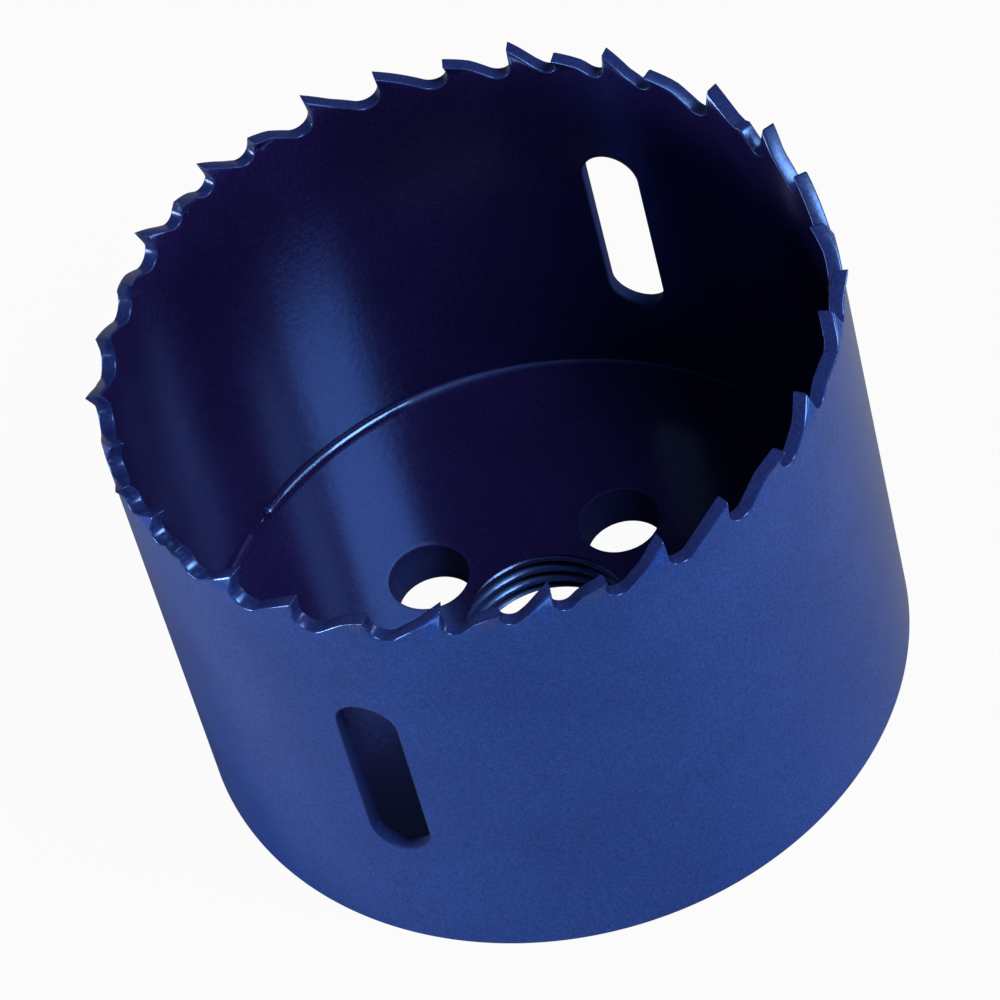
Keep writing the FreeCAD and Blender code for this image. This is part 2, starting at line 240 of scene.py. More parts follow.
local_arc, local_height = tooth_outline()
rim_arc = (local_arc + starts[:, None]).ravel()
rim_heights = local_height.ravel()
owner = np.tile(np.arange(local_arc.shape[1]) >= len(BACK) + len(FLOOR), (count, 1)).ravel()
tooth_number = (np.repeat(np.arange(count), local_arc.shape[1]) + owner) % count
rim_sides = sides[tooth_number]
print(f"{len(rim_arc)} outline points, floors {local_height.min(axis=1).min():.2f} mm high at the lowest")

# %% [markdown]
# ## Moving in from an outline
# Paint and wear leave no sharp corners, so a cut edge is rounded: the face of the wall stops a little
# short of the outline and a quarter circle leads over to the cut. A Bevel modifier would fold over
# itself at the thin tips. Instead each outline point moves inwards by a distance. At the corner of a
# tooth the two directions are averaged and lengthened, so that both edges keep the same distance, as a
# mitre does.

# %% Mitred directions
tip_window = 1.7


def inward(arc, height, period):
    """Directions into the steel at each point of a closed outline, in arc and height: the sum of the
    two edge normals divided by one plus their dot product, which keeps the distance to both edges. Also
    how far that slides along the edge after the point and along the edge before it."""
    step = np.stack([np.roll(arc, -1) - arc, np.roll(height, -1) - height])
    step[0] = (step[0] + period / 2) % period - period / 2
    step /= np.hypot(*step)
    after = np.stack([step[1], -step[0]])
    before = np.roll(after, 1, axis=1)
    mitre = (after + before) / (1 + (after * before).sum(axis=0))
    return mitre, mitre - after, mitre - before


def run_along():
    """Length of each tooth's outline from its tip to each of its points and to the next tip."""
    all_arc = np.concatenate([local_arc, pitches[:, None]], axis=1)
    all_height = np.concatenate([local_height, np.full((count, 1), rim_height)], axis=1)
    steps = np.hypot(np.diff(all_arc, axis=1), np.diff(all_height, axis=1))
    return np.concatenate([np.zeros((count, 1)), np.cumsum(steps, axis=1)], axis=1)


outline_run = run_along()
rim_inward, slide_back, slide_face = inward(rim_arc, rim_heights, girth)
per_tooth = local_arc.shape[1]


def eased_tips():
    """Next to a sharp tip plain normals would cross the tip's own direction. So the tip's slide along
    the edge is added to the points on both sides of it and fades out over the tip window."""
    back_fade = np.clip(1 - outline_run[:, :-1] / tip_window, 0, 1)
    face_fade = np.clip(1 - (outline_run[:, -1:] - outline_run[:, :-1]) / tip_window, 0, 1)
    back_fade[:, 0] = 0
    slides = (slide_back[:, ::per_tooth, None] * back_fade
              + np.roll(slide_face[:, ::per_tooth], -1, axis=1)[:, :, None] * face_fade)
    return rim_inward + slides.reshape(2, -1)


rim_inward = eased_tips()
print("mitre at a tip:", np.hypot(*rim_inward[:, 0]).round(2))

# %% [markdown]
# ## Rolling the strip
# A Simple Deform modifier could bend the strip, but one function of a point keeps the exact radii: its
# arc becomes an angle, its height stays, and its depth counts from the outside of the wall. Above the
# bend line a tooth is set outwards, inwards or not at all, which makes the cut wider than the wall. The
# lean grows from nothing at the line to its full size at the tip.

# %% Roll
tooth_set = 0.65
set_depth = 1.35
bend_softness = 1.15


def rolled(arc, height, depth, side=0, edge=0.0, inside=0.0):
    """Place on the cup: angle = first tooth - arc / middle radius, radius = outside - depth + side x
    set x (share of the way from the bend line to the tip) to a power just over one."""
    share = np.clip((height - (rim_height - set_depth)) / set_depth, 0, 1)
    radius = outer_radius - depth + side * tooth_set * share ** bend_softness
    angle = first_tooth - arc / middle_radius
    return sheet(radius * np.cos(angle), radius * np.sin(angle), height, edge, inside)

# %% [markdown]
# ## Wall rows and slot columns
# The two faces of the wall are grids with one column for each outline point. Rows run from the rim
# to the foot. Near the rim they follow the teeth, lower down they are level. A slot could be punched
# with a boolean; here the rows bend round its ends and the faces between are left out. The columns
# there are moved so that two of them run along the slot's sides and the others divide its round ends.

# %% Columns of a wall face
slot_width = 5.1
slot_length = 18.9
slot_middle = 22.3
slot_angles = (math.radians(90), math.radians(270))
slot_window = 8.0
edge_round = 0.16
foot_round = 0.35
tooth_foot = 37.6
spread_shift = 2.2
slot_half = slot_width / 2 + edge_round
slot_straight = (slot_length - slot_width) / 2
slot_arcs = [(first_tooth - angle) % (2 * math.pi) * middle_radius for angle in slot_angles]


def even_columns():
    """Arc of each column where the rows are level: the length along each tooth's outline, scaled to
    its pitch and moved on so that no column crosses the leaning faces."""
    share = outline_run[:, :-1] / outline_run[:, -1:]
    return (share * pitches[:, None] + starts[:, None]).ravel() + spread_shift


def slot_columns(level):
    """Moves the columns round each slot. Inside it they stand at half width x minus cosine of an even
    turn, beside it the shift fades to nothing over the window. Also returns each column's distance
    from its slot's middle as a share of the half width, at most one."""
    moved = level.copy()
    share = np.ones(len(level))
    for middle in slot_arcs:
        chosen = np.flatnonzero(np.abs(level - middle) <= slot_half)
        targets = middle - slot_half * np.cos(np.linspace(0, math.pi, len(chosen)))
        knots = np.concatenate([[middle - slot_window], level[chosen], [middle + slot_window]])
        places = np.concatenate([[middle - slot_window], targets, [middle + slot_window]])
        near = np.abs(level - middle) < slot_window
        moved[near] = np.interp(level[near], knots, places)
        share[chosen] = np.abs(targets - middle) / slot_half
    return moved, share


level_arc = even_columns()
slotted_arc, slot_share = slot_columns(level_arc)
slot_reach = slot_straight + slot_half * np.sqrt(np.clip(1 - slot_share ** 2, 0, 1))
in_slot = slot_share < 1 - 1e-9
print(f"{int(in_slot.sum())} columns run into the slots")

# %% [markdown]
# The rows are listed from the rim down. The first ones move in from the outline by growing distances,
# the next blend towards the level line under the teeth, and the rest step down past the slots to the
# foot. A row is an arc, a height and an edge share for every column. The edge share is one next to the
# rim, to the upper end of a slot and to the foot, and soon fades.

# %% Rows of a wall face
rim_rows = ((edge_round, 1.0), (edge_round + 0.07, 0.55), (edge_round + 0.25, 0.12))
tooth_blend = (0.12, 0.28, 0.5, 0.75, 1.0)
above_slot = ((0.3, 0.0), (0.6, 0.0), (0.85, 0.0), (0.96, 0.25), (1.0, 1.0))
beside_slot = (0.02, 0.15, 0.5, 0.85, 0.98, 1.0)
below_slot = ((0.04, 0.25), (0.15, 0.0), (0.4, 0.0), (0.65, 0.0), (0.85, 0.0), (0.95, 0.0))
foot_rows = ((0.985, 0.5), (1.0, 1.0))


def wall_rows(foot):
    """Arcs, heights and edge shares, each (rows, columns), and the row numbers between which the slots
    are open. Every stretch is a blend: from x (1 - share) + to x share."""
    rows = []
    for step, near in rim_rows:
        arc, height = rim_arc + rim_inward[0] * step, rim_heights + rim_inward[1] * step
        rows.append((arc, height, near))
    for share in tooth_blend:
        rows.append((arc + (level_arc - arc) * share, height + (tooth_foot - height) * share, 0.0))
    top = slot_middle + slot_reach
    bottom = slot_middle - slot_reach
    for share, near in above_slot:
        rows.append((level_arc + (slotted_arc - level_arc) * share,
                     tooth_foot + (top - tooth_foot) * share, near * in_slot))
    first_open = len(rows) - 1
    for share in beside_slot:
        rows.append((slotted_arc, top + (bottom - top) * share, 0.0))
    last_open = len(rows) - 1
    for share, near in below_slot:
        rows.append((slotted_arc, bottom + (foot - bottom) * share, near * in_slot))
    for share, near in foot_rows:
        rows.append((slotted_arc, bottom + (foot - bottom) * share, near))
    rows = np.array([[np.broadcast_to(part, level_arc.shape) for part in row] for row in rows])
    return rows[:, 0], rows[:, 1], rows[:, 2], (first_open, last_open)


print("a slot is open between the rows", wall_rows(foot_round)[3])

# %% [markdown]
# Seen from the outside, the paint of the wall runs unchanged up to its edges. On the inside a little of
# it has the tone of the cut, so only the inside face keeps a part of the edge shares.

# %% The two faces of the wall
inside_edge = 0.3


def closed(grid):
    """Repeats the first column after the last, so that the sheet goes all the way round."""
    return np.concatenate([grid, grid[:, :1]], axis=1)


def wall_face(depth, foot, inside):
    """One face of the wall as a sheet, and the mask of its faces that no slot opens."""
    arcs, heights, near, (first_open, last_open) = wall_rows(foot)
    grid = closed(rolled(arcs, heights, depth, rim_sides, near * inside_edge * inside, inside))
    keep = np.ones((grid.shape[0] - 1, grid.shape[1] - 1), dtype=bool)
    open_column = slot_share + np.roll(slot_share, -1) < 2 - 1e-9
    keep[first_open:last_open, :] = ~open_column
    return grid, keep


outside_face, outside_keep = wall_face(0.0, foot_round, 0.0)
# The inside face has the full inside share, and with it the painted shade of the cup's inside.
inside_face, inside_keep = wall_face(wall, 0.0, 1.0)
print("wall face grid:", outside_face.shape[:2])
print("faces left out for the slots:", int((~outside_keep).sum()))

# %% [markdown]
# ## Cut edges
# Three kinds of cut join the two faces: the milled rim, the two punched slots and the turned foot. The
# rim and the slots use one profile across the wall: a quarter circle from the outside face to the flat
# of the cut, one point in the middle of that flat, and a quarter circle to the inside face. The flat
# has the cut's own tone. It fades to the paint of the outside over the first quarter circle and grows
# duller over the second.

# %% Profile across the wall
corner = np.linspace(0, math.pi / 2, 5)
outer_corner = edge_round * (1 - np.cos(corner))
across_depth = np.concatenate([outer_corner, [wall / 2], wall - outer_corner[::-1]])
stop_short = edge_round * (1 - np.sin(corner))
across_short = np.concatenate([stop_short, [0], stop_short[::-1]])
inner_corner = 0.12
# The inner rounding of the cut takes the inside share, and so the painted shade of the inside.
across_inside = np.clip((across_depth / wall - (1 - inner_corner)) / inner_corner, 0, 1)
flat_edge = 0.6
corner_share = across_short / edge_round
across_edge = flat_edge + np.where(across_depth < wall / 2, -flat_edge, 1 - flat_edge) * corner_share
print("depths across the wall:", across_depth.round(2))

# %% [markdown]
# The cut round the teeth follows the outline, the cut round a slot follows the border of the open rows
# and columns, and the foot is a plain ring. Each starts and ends on points of the two faces.

# %% The three kinds of cut
slot_edge = 1.0
# The slot's cut takes part of the inside share, so its faces carry some painted shade.
slot_inside_shade = 0.4
foot_edge = 0.2


def rim_cut():
    """The cut round the teeth: outline + inward direction x how far the profile stops short of it."""
    short = across_short[:, None]
    arc = rim_arc + rim_inward[0] * short
    height = rim_heights + rim_inward[1] * short
    return closed(rolled(arc, height, across_depth[:, None], rim_sides, across_edge[:, None],
                         across_inside[:, None]))


def slot_cut(middle):
    """The cut round one slot. Its loop takes the points of the wall's grid down one side, along the
    lower end, up the other side and back; each moves towards the slot's spine by the profile."""
    arcs, heights, _, (first_open, last_open) = wall_rows(foot_round)
    columns = np.flatnonzero(np.abs(slotted_arc - middle) <= slot_half + MERGE)
    rows = np.arange(first_open, last_open + 1)
    loop_row = np.concatenate([rows, np.full(len(columns) - 1, last_open), rows[::-1][1:],
                               np.full(len(columns) - 1, first_open)])
    loop_column = np.concatenate([np.full(len(rows), columns[0]), columns[1:],
                                  np.full(len(rows) - 1, columns[-1]), columns[::-1][1:]])
    arc, height = arcs[loop_row, loop_column], heights[loop_row, loop_column]
    spine = np.clip(height, slot_middle - slot_straight, slot_middle + slot_straight)
    away = np.stack([arc - middle, height - spine])
    away /= np.hypot(*away)
    move = (edge_round - across_short)[:, None]
    arc = arc - away[0] * move
    height = height - away[1] * move
    return rolled(arc, height, across_depth[:, None], 0, slot_edge, slot_inside_shade)


def foot_cut():
    """The foot: a quarter circle from the outside face, then flat to the inside face."""
    depth = np.append(foot_round * (1 - np.cos(corner)), wall)[:, None]
    height = np.append(foot_round * (1 - np.sin(corner)), 0)[:, None]
    near = np.where(depth == wall, 0.0, foot_edge)
    return closed(rolled(slotted_arc, height, depth, 0, near, np.where(depth == wall, 1.0, 0.0)))


print("rim cut grid:", rim_cut().shape[:2], "slot cut grid:", slot_cut(slot_arcs[0]).shape[:2])

# %% [markdown]
# ## The wall
# On the real saw the strip is one piece of steel, so its six sheets become one piece too. They share
# their border points, and joining them gives one closed skin.

# %% Join the wall
toothed_wall = join_sheets("toothed_wall", [
    (outside_face, False, outside_keep),
    (inside_face, True, inside_keep),
    (rim_cut(), True, None),
    *[(slot_cut(middle), True, None) for middle in slot_arcs],
    (foot_cut(), False, None),
])
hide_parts("saw_wall")
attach(toothed_wall, "root")

# %% [markdown]
# ## The end plate
# The plate is a thick disc with a threaded hole for the arbor and four holes for its drive pins. It
# could be a cylinder with holes cut by booleans, but then no ring of faces would go round a hole to
# round its edge. So the plate falls into as many equal sectors as it has pin holes. In each, the flat
# face is a grid of rays that run from the round hole to the sector's border, which is made of the mouth
# of the thread, two straight sides and the rim. The straight sides of neighbours match, so the sectors
# close into a plate.

# %% One sector of the flat face
plate_round = 0.18
pin_round = 0.12
mouth = 0.15
pin_angle = math.radians(77.8)
sector = 2 * math.pi / pin_count
MOUTH_STEPS, SIDE_STEPS, RIM_STEPS = 40, 14, 48
plate_rows = (0, 0.03, 0.1, 0.25, 0.5, 0.75, 0.93, 0.98, 1.0)
plate_edges = (0.2, 0.1, 0, 0, 0, 0, 0, 0, 0)


def sector_border():
    """Border points of a sector that lies round +X: along the mouth of the thread, out, along the rim
    and back in, ending where it began."""
    swing = np.linspace(-sector / 2, sector / 2, MOUTH_STEPS + 1)
    sweep = np.linspace(sector / 2, -sector / 2, RIM_STEPS + 1)
    out = np.linspace(thread_radius + mouth, plate_radius - plate_round, SIDE_STEPS + 1)
    radius = np.concatenate([np.full(len(swing), out[0]), out[1:-1], np.full(len(sweep), out[-1]),
                             out[::-1][1:]])
    angle = np.concatenate([swing, np.full(len(out) - 2, sector / 2), sweep,
                            np.full(len(out) - 1, -sector / 2)])
    return radius * np.cos(angle), radius * np.sin(angle)


def sector_face(number, height, inside):
    """The flat face of one sector: hole edge x (1 - share) + border x share, turned to its place."""
    x, y = sector_border()
    way = np.arctan2(y, x - pin_circle)
    hole = pin_radius + pin_round
    share = np.array(plate_rows)[:, None]
    flat_x = (pin_circle + hole * np.cos(way)) * (1 - share) + x * share
    flat_y = hole * np.sin(way) * (1 - share) + y * share
    near = np.array(plate_edges)[:, None]
    return turned(sheet(flat_x, flat_y, height, near, inside), number)


def turned(grid, number):
    """A grid turned about the axis to the sector with that number."""
    angle = pin_angle + number * sector
    x = grid[..., 0] * math.cos(angle) - grid[..., 1] * math.sin(angle)
    y = grid[..., 0] * math.sin(angle) + grid[..., 1] * math.cos(angle)
    return np.concatenate([x[..., None], y[..., None], grid[..., 2:]], axis=-1)


print("a sector's flat face is a grid of", sector_face(0, plate_top, 1.0).shape[:2])

# %% [markdown]
# A pin hole is a plain drilled hole with its edges just broken. It is a round sheet on the same rays as
# the flat faces, so it meets both of them point by point. The rim of the plate is made in the same way.

# %% Walls of the pin holes and rim of the plate
hole_edge = 1.0
rim_edge = 0.5


def rounded_ring(radius, rounding, outwards):
    """Radii and heights of a wall from the top face to the bottom face: a quarter circle, straight
    down, and a quarter circle back. outwards is 1 where the steel lies outside it, as round a hole."""
    radii = radius + outwards * rounding * (1 - np.sin(corner))
    fall = rounding * (1 - np.cos(corner))
    heights = np.concatenate([plate_top - fall, fall[::-1]])
    return np.concatenate([radii, radii[::-1]])[:, None], heights[:, None]


# The inside share of a pin hole's wall grows with height, so its upper part takes the painted shade.
def pin_hole(number):
    """The wall of one pin hole. Its columns are the rays of the sector."""
    x, y = sector_border()
    way = np.arctan2(y, x - pin_circle)
    radius, height = rounded_ring(pin_radius, pin_round, 1)
    x = pin_circle + radius * np.cos(way)
    y = radius * np.sin(way)
    return turned(sheet(x, y, height, hole_edge, height / plate_top), number)


def round_angles(steps):
    """Angles all the way round, with a number of equal steps in each sector."""
    return pin_angle - sector / 2 + np.linspace(0, 2 * math.pi, pin_count * steps + 1)


# The rim's inside share grows with height too, so its upper part takes the painted shade.
def plate_rim():
    """The rim of the plate, on the same angles as the rim side of the sectors."""
    angle = round_angles(RIM_STEPS)
    radius, height = rounded_ring(plate_radius, plate_round, -1)
    return sheet(radius * np.cos(angle), radius * np.sin(angle), height, rim_edge, height / plate_top)


print("pin hole grid:", pin_hole(0).shape[:2], "plate rim grid:", plate_rim().shape[:2])

# %% [markdown]
# ## The arbor thread
# The drill's arbor screws into the middle of the plate, so this hole has a thread of eighteen turns to
# the inch. A profile swept along a helix could make it, but its ends would stick out of the plate.
# Instead the thread is a height field wrapped round the hole: along the axis the radius swings between
# crest and root once a pitch, and the swing moves up by one pitch a turn, which makes it a helix. A
# small mouth at both ends cuts the crests away, and the groove runs out into it.

# %% Thread and whole plate
thread_pitch = 25.4 / 18
thread_depth = 0.68
flank_start, flank_end = 0.14, 0.84
flank_round = 0.4
groove_run_out = 3
THREAD_ROWS = 96


def eased(share):
    """Goes from 0 to 1 with level ends: share squared x (3 - 2 share)."""
    return share * share * (3 - 2 * share)


# The thread's inside share also grows with height, giving its upper part the painted shade of the inside.
def thread_wall():
    """Radius = crest + depth x swing. The swing is the distance from the middle of the crest as a share
    of half a pitch, stretched between the start and end of the flank and partly eased. Towards an end
    of the hole the depth is at least the mouth less the height that is left to that end, and at most
    the mouth plus that height times the run-out."""
    angle = round_angles(MOUTH_STEPS)
    height = np.linspace(plate_top, 0, THREAD_ROWS + 1)[:, None]
    turn = (height / thread_pitch - angle / (2 * math.pi)) % 1
    swing = np.clip((np.abs(2 * turn - 1) - flank_start) / (flank_end - flank_start), 0, 1)
    groove = thread_depth * (eased(swing) * flank_round + swing * (1 - flank_round))
    end = np.minimum(height, plate_top - height)
    radius = thread_radius + np.clip(groove, mouth - end, mouth + groove_run_out * end)
    near = 1 - (1 - groove / thread_depth) ** 3
    return sheet(radius * np.cos(angle), radius * np.sin(angle), height, near, height / plate_top)


# The top faces, inside the cup, have the full inside share and its painted shade; the bottom faces none.
sectors = range(pin_count)
drilled_plate = join_sheets("drilled_plate", [
    *[(sector_face(number, plate_top, 1.0), False, None) for number in sectors],
    *[(sector_face(number, 0.0, 0.0), True, None) for number in sectors],
    *[(pin_hole(number), True, None) for number in sectors],
    (thread_wall(), False, None),
    (plate_rim(), True, None),
])
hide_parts("end_plate")
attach(drilled_plate, "root")

# %% [markdown]
# ## The weld bead
# Plate and wall are welded round the inside corner. The bead is a swollen ring, a little uneven along
# its way as a torch leaves it. It is slimmer along the first part of its way and has one short bare
# spot. A round wire bent to a ring could stand for it, but that would be as thick all the way. Here the
# section is a curve between two toes, whose size changes with the angle: the further its power is above
# one, the more it swells past a straight fillet.

# %% Size of the bead along its way
bead_leg = 0.74
bead_waves = ((7, 0.4, 0.04), (23, 1.9, 0.025), (61, 0.8, 0.01))
slim_middle = math.radians(66.0)
slim_fade = 0.5
slim_loss = 0.6
bare_middle = math.radians(170.3)
bare_half = 1.05 / inner_radius
bare_start, bare_fade = 0.6, 0.9
bare_left = 0.12
BEAD_COLUMNS = 900


def bead_legs(angle):
    """Leg = bead leg x (1 + a sum of sines) x what the slim stretch leaves x what the bare spot leaves.
    The slim stretch runs from angle 0 to twice its middle. Away from the bare spot's middle, counted in
    its half widths, the bead grows back from bare_start on, over bare_fade."""
    waves = sum(size * np.sin(turns * angle + phase) for turns, phase, size in bead_waves)
    slim = np.clip((slim_middle - np.abs(angle - slim_middle)) / slim_fade, 0, 1)
    away = np.abs(angle - bare_middle) / bare_half
    whole = eased(np.clip((away - bare_start) / bare_fade, 0, 1))
    return bead_leg * (1 + waves) * (1 - slim_loss * slim) * (bare_left + (1 - bare_left) * whole)


bead_angle = np.linspace(0, 2 * math.pi, BEAD_COLUMNS + 1)
print(f"legs from {bead_legs(bead_angle).min():.2f} to {bead_legs(bead_angle).max():.2f} mm")

# %% [markdown]
# The ring carries those sections round the corner and sinks a hair into wall and plate, so that no
# light shows under its toes. Over the first part of its way the paint on it is duller, and the edge
# share says so.

# %% Bead
bead_power = 1.75
bead_sink = 0.03
dull_end = math.radians(138.5)
dull_fade = 0.08
dull_edge = 0.85
BEAD_ROWS = 11


# The whole bead has the inside share, so it carries the painted shade of the cup's inside.
def weld_ring(angle):
    """Section in polar form from the corner: reach = leg / (cos^p + sin^p)^(1/p), p being the power."""
    leg = bead_legs(angle)
    tilt = np.linspace(0, math.pi / 2, BEAD_ROWS)[:, None]
    reach = leg / (np.cos(tilt) ** bead_power + np.sin(tilt) ** bead_power) ** (1 / bead_power)
    radius = inner_radius + bead_sink - reach * np.cos(tilt)
    height = plate_top - bead_sink + reach * np.sin(tilt)
    back = np.full_like(angle, inner_radius + bead_sink)[None, :]
    foot = np.full_like(angle, plate_top - bead_sink)[None, :]
    radius = np.concatenate([back, radius, back])
    height = np.concatenate([foot, height, foot])
    near = dull_edge * np.clip((dull_end - angle) / dull_fade, 0, 1)
    return sheet(radius * np.cos(angle), radius * np.sin(angle), height, near, 1.0)


weld_bead = join_sheets("weld_bead", [(weld_ring(bead_angle), True, None)])
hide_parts("joint_weld")
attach(weld_bead, "root")

# %% [markdown]
# ## Blue enamel
# The saw is sprayed with one dark blue enamel. On the outside it is thick and satin. Inside the cup its
# colour is darkened to a nearly navy tone, which is painted shade for the shade that falls in the cup,
# and on the milled edges it is a dark, duller navy. Three materials with sharp borders would be simpler,
# but the coat and the painted shade change softly. So one material fits all pieces, and the shares
# stored with each point tell it where the edges and the shaded inside are.

# %% Node helpers
def node(tree, kind, place, inputs=(), **settings):
    """Adds a node, sets its properties, and fills its inputs by number or name: a value, or a socket
    that is linked."""
    made = tree.nodes.new(kind)
    made.location = place
    for title, value in settings.items():
        setattr(made, title, value)
    for key, value in dict(inputs).items():
        if isinstance(value, bpy.types.NodeSocket):
            tree.links.new(value, made.inputs[key])
        else:
            made.inputs[key].default_value = value
    return made


def sum_node(tree, operation, place, *values):
    """The result of one sum, such as MULTIPLY, on values or sockets."""
    return node(tree, "ShaderNodeMath", place, dict(enumerate(values)), operation=operation).outputs[0]


def mixed(tree, share, first, second, place):
    """A colour that goes from the first to the second by a share."""
    mix = node(tree, "ShaderNodeMix", place, {0: share, 6: first, 7: second}, data_type="RGBA")
    return mix.outputs[2]


def noise(tree, where, scale, detail, place):
    """Noise over the object's own place, with its scale in grains a metre."""
    inputs = {"Vector": where, "Scale": scale, "Detail": detail}
    return node(tree, "ShaderNodeTexNoise", place, inputs).outputs[0]


def ranged(tree, value, low, high, to_low, to_high, place):
    """A value moved from one range to another and held inside it."""
    inputs = {0: value, 1: low, 2: high, 3: to_low, 4: to_high}
    return node(tree, "ShaderNodeMapRange", place, inputs).outputs[0]


def new_material(name):
    """An empty node material and its output."""
    material = bpy.data.materials.new(name)
    material.use_nodes = True
    material.node_tree.nodes.clear()
    return material, node(material.node_tree, "ShaderNodeOutputMaterial", (900, 0))


def dress(piece, material):
    """Gives a piece one material."""
    piece.data.materials.clear()
    piece.data.materials.append(material)
    print(f"{piece.name} has {material.name} with {len(material.node_tree.nodes)} nodes")

# %% [markdown]
# The colour starts from two blues, each in two close tones that a broad noise mixes as mottling. The
# inside share leads from the outside blue to the inside navy, which is painted shade for the dark inside
# of the cup, the edge share from there to the navy of the cuts, and a fine noise speckles all of it.

# %% Colours of the enamel
outside_tones = ((0.0095, 0.036, 0.205, 1), (0.0125, 0.044, 0.235, 1))
# The inside navy is painted shade: the cup's inside gets a tone about a fifth as bright as the outside blue.
inside_shade_tones = ((0.0065, 0.0043, 0.036, 1), (0.0085, 0.006, 0.050, 1))
cut_tone = (0.0092, 0.016, 0.09, 1)
cut_from, cut_full = 0.1, 0.6
cut_on_inside = 0.4
mottle_scale = 90.0
speckle_swing = 0.3


def enamel_colour(tree, where, grain, edge, inside):
    """Mixes the tones as told above. The fine noise scales the result by one more or less a swing."""
    mottle = noise(tree, where, mottle_scale, 3.0, (-1250, 300))
    patch = ranged(tree, mottle, 0.35, 0.65, 0.0, 1.0, (-1000, 300))
    colour = mixed(tree, inside, mixed(tree, patch, *outside_tones, (-800, 500)),
                   mixed(tree, patch, *inside_shade_tones, (-800, 200)), (-600, 350))
    cut = ranged(tree, edge, cut_from, cut_full, 0.0, 1.0, (-1000, 1000))
    shown = ranged(tree, inside, 0.0, 1.0, 1.0, cut_on_inside, (-1000, 800))
    cut = sum_node(tree, "MULTIPLY", (-800, 800), cut, shown)
    colour = mixed(tree, cut, colour, cut_tone, (-400, 450))
    speckle = ranged(tree, grain, 0.3, 0.7, 1 - speckle_swing, 1 + speckle_swing, (-1000, -300))
    inputs = {0: colour, "Scale": speckle}
    return node(tree, "ShaderNodeVectorMath", (-200, 350), inputs, operation="SCALE").outputs[0]


print("outside, inside and cut:", outside_tones[0], inside_shade_tones[0], cut_tone)

# %% [markdown]
# The gloss is that of a sprayed coat: a soft orange peel and a fine grain, both only as bumps, since
# they are far below a tenth of a millimetre. Its mirror image is tinted blue, as pigment in the coat
# tints it. Sharp corners and the grooves of the thread, where the coat is thin, mirror less and are
# rougher. The strength of the mirror image itself is one value on the shader's own socket.

# %% Gloss and relief of the enamel
peel_scale, peel_depth = 1500.0, 0.03
grain_scale, grain_depth = 4200.0, 0.012
bump_strength = 0.35
roughness, roughness_swing = 0.17, 0.03
corner_power = 4.0
corner_roughness = 0.55
face_tint = (0.2, 0.43, 1.0, 1)
corner_tint = (0.04, 0.07, 0.2, 1)
mirror_level = 1.0


def enamel(name):
    """Base colour as above. Roughness = base + a swing by the peel + corner roughness x edge share to
    the power of four. The normal is bent first by the peel, then by the grain."""
    material, output = new_material(name)
    tree = material.node_tree
    where = node(tree, "ShaderNodeTexCoord", (-1500, 0)).outputs["Object"]
    peel = noise(tree, where, peel_scale, 2.0, (-1250, 0))
    grain = noise(tree, where, grain_scale, 2.0, (-1250, -300))
    edge = node(tree, "ShaderNodeAttribute", (-1250, 800), attribute_name="edge").outputs["Fac"]
    inside = node(tree, "ShaderNodeAttribute", (-1250, 600), attribute_name="inside").outputs["Fac"]
    corners = sum_node(tree, "POWER", (-600, 100), edge, corner_power)
    least, most = roughness - roughness_swing, roughness + roughness_swing
    face_roughness = ranged(tree, peel, 0.3, 0.7, least, most, (-600, -100))
    rough = sum_node(tree, "MULTIPLY_ADD", (-400, -100), corners, corner_roughness, face_roughness)
    peel_bump = {"Strength": bump_strength, "Distance": peel_depth * MM, "Height": peel}
    peeled = node(tree, "ShaderNodeBump", (-300, -300), peel_bump).outputs[0]
    grain_bump = {"Strength": bump_strength, "Distance": grain_depth * MM, "Height": grain, "Normal": peeled}
    grained = node(tree, "ShaderNodeBump", (0, -300), grain_bump).outputs[0]
    paint = node(tree, "ShaderNodeBsdfPrincipled", (400, 0), {
        "Base Color": enamel_colour(tree, where, grain, edge, inside),
        "Roughness": rough,
        "Normal": grained,
        "Specular IOR Level": mirror_level,
        "Specular Tint": mixed(tree, corners, face_tint, corner_tint, (100, 150)),
    })
    tree.links.new(paint.outputs[0], output.inputs[0])
    return material


blue_enamel = enamel("blue_enamel")
for piece in (toothed_wall, drilled_plate, weld_bead):
    dress(piece, blue_enamel)

# %% [markdown]
# ## Floor and backdrop
# The saw stands on a white sweep in a white room. Lit up like that all round, the saw would lose its
# deep blue. So what a ray sees depends on its kind: rays from the camera, or through a clear body, see
# white, and mirrored rays see a share of it, less of the room than of the floor. All others see plain
# pale paper in a dim room.

# %% Who sees the white
def seen_ray(tree, mirror):
    """One for rays from the camera or a clear body, a share for mirrored rays, nothing for the rest."""
    path = node(tree, "ShaderNodeLightPath", (-900, 200))
    mirrored = sum_node(tree, "MULTIPLY", (-800, 0), path.outputs["Is Glossy Ray"], mirror)
    both = sum_node(tree, "MAXIMUM", (-700, 200), path.outputs["Is Camera Ray"], mirrored)
    return sum_node(tree, "MAXIMUM", (-500, 200), both, path.outputs["Is Transmission Ray"])

# %% [markdown]
# The sweep is one flat sheet a hair under the foot. It needs no curve at the back, because the camera
# looks down and sees nothing else behind the saw. Plain paper keeps a small share of the picture, which
# holds the shadow, and close under the saw no white is mirrored, because the saw shades the floor.

# %% Sweep
paper_share = 0.045
paper_tone = (0.2, 0.2, 0.2, 1)
white = (1, 1, 1, 1)
floor_mirror = 0.1
shaded_radius, open_radius = 33, 50
sweep_half = 1500
sweep_drop = 0.02


